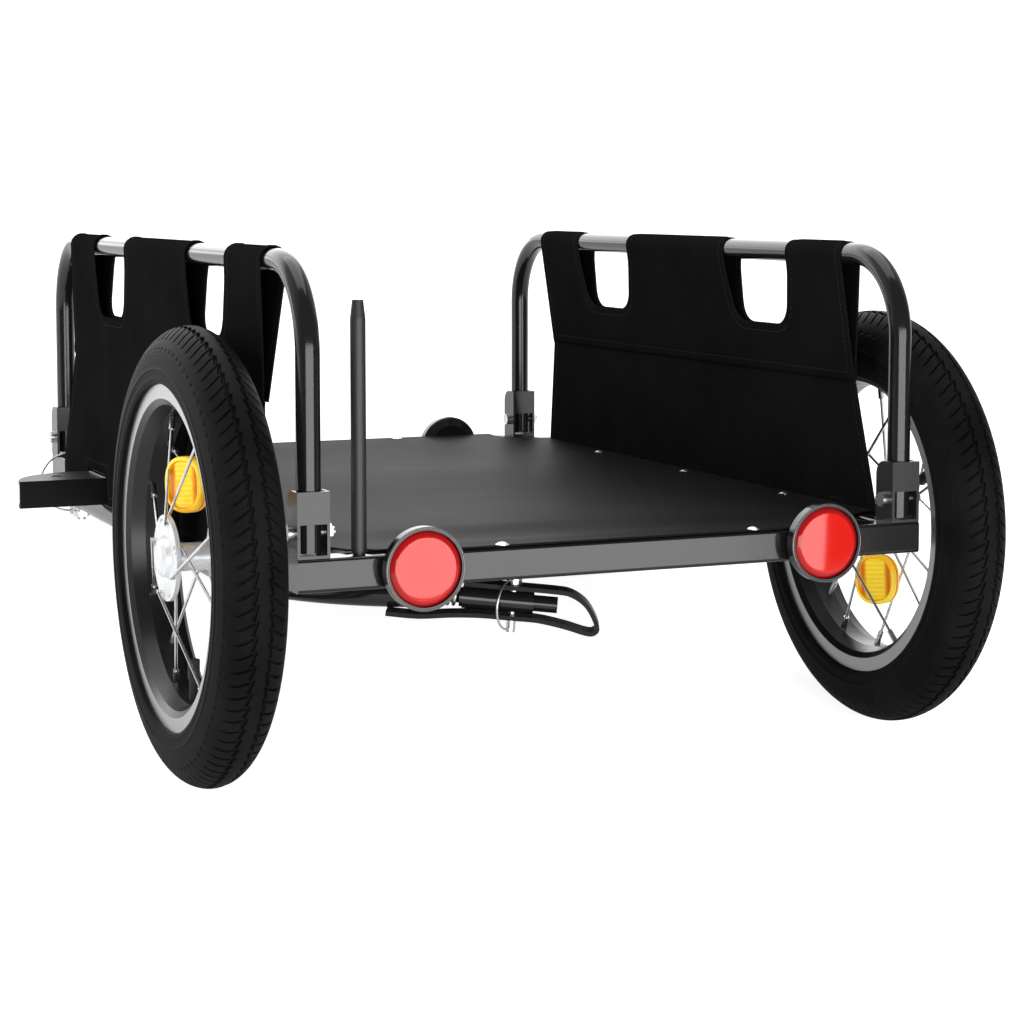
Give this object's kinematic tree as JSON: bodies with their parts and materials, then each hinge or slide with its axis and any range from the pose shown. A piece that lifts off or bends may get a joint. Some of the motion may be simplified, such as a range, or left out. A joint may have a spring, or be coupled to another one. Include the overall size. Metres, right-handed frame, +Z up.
{
  "type": "bicycle cargo trailer",
  "caption": "Two-wheeled bicycle cargo trailer: steel frame with a cloth bed and side walls on bent rails, its drawbar stowed underneath.",
  "frame": {"origin": "on the floor, midway between the two wheels' contact points", "axes": "+X to the trailer's right, +Y forward towards the bicycle, +Z up; parked, the trailer stands nose down by 12.3 degrees about the axle"},
  "size_m": [0.5945, 0.7493, 0.3685],
  "materials": {
    "gloss_black_paint": "gloss black enamel",
    "bracket_paint": "satin black enamel",
    "bright_steel": "zinc plated",
    "woven_cloth": "coated black weave",
    "tyre_rubber": "matt",
    "rim_black": "black with a bright machined edge",
    "spoke_steel": "bright",
    "hub_silver": "polished",
    "amber_plastic": "clear amber prisms",
    "valve_rubber": "matt",
    "shell_plastic": "gloss",
    "red_lens": "glossy dome",
    "clear_lens": "glossy dome",
    "rod_plastic": "satin"
  },
  "bodies": {
    "trailer": {"rear_bar": "gloss_black_paint", "front_bar": "gloss_black_paint", "side_tube_left": "gloss_black_paint", "side_tube_right": "gloss_black_paint", "axle_beam": "gloss_black_paint", "mid_bar": "gloss_black_paint", "post_bracket_rear_left": "bracket_paint", "post_bracket_rear_right": "bracket_paint", "post_bracket_front_left": "bracket_paint", "post_bracket_front_right": "bracket_paint", "rail_left": "gloss_black_paint", "rail_right": "gloss_black_paint", "rail_bolts": "bright_steel", "bed_sheet": "woven_cloth", "side_panel_left": "woven_cloth", "side_panel_right": "woven_cloth", "rear_reflector_shells": "shell_plastic", "rear_reflector_lenses": "red_lens", "front_reflector_shells": "shell_plastic", "front_reflector_lenses": "clear_lens", "flag_rod": "rod_plastic", "towing_socket": "gloss_black_paint", "drawbar_tube": "gloss_black_paint", "drawbar_bolt": "bright_steel", "locking_pin": "bright_steel", "locking_pin_ring": "bright_steel", "coupling_spring": "bright_steel", "coupling_sleeve": "gloss_black_paint", "stub_axle_left": "bright_steel", "stub_axle_right": "bright_steel"},
    "wheel_left": {"tyre_left": "tyre_rubber", "rim_left": "rim_black", "spokes_left": "spoke_steel", "hub_left": "hub_silver", "wheel_reflector_left": "amber_plastic", "valve_left": "valve_rubber"},
    "wheel_right": {"tyre_right": "tyre_rubber", "rim_right": "rim_black", "spokes_right": "spoke_steel", "hub_right": "hub_silver", "wheel_reflector_right": "amber_plastic", "valve_right": "valve_rubber"},
    "hitch": {"hitch_yoke": "gloss_black_paint", "hitch_pin": "bright_steel", "hitch_pin_ring": "bright_steel"}
  },
  "joints": [
    {"name": "wheel_left_spin", "type": "hinge", "parent": "trailer", "child": "wheel_left", "pos_m": [-0.266, 0, 0.155], "axis": [-1, 0, 0], "continuous": true},
    {"name": "wheel_right_spin", "type": "hinge", "parent": "trailer", "child": "wheel_right", "pos_m": [0.266, 0, 0.155], "axis": [-1, 0, 0], "continuous": true},
    {"name": "hitch_swivel", "type": "hinge", "parent": "trailer", "child": "hitch", "pos_m": [-0.07095, -0.09208, 0.14453], "axis": [0.0796, 0.174, 0.9815], "range_deg": [-10, 40]}
  ]
}
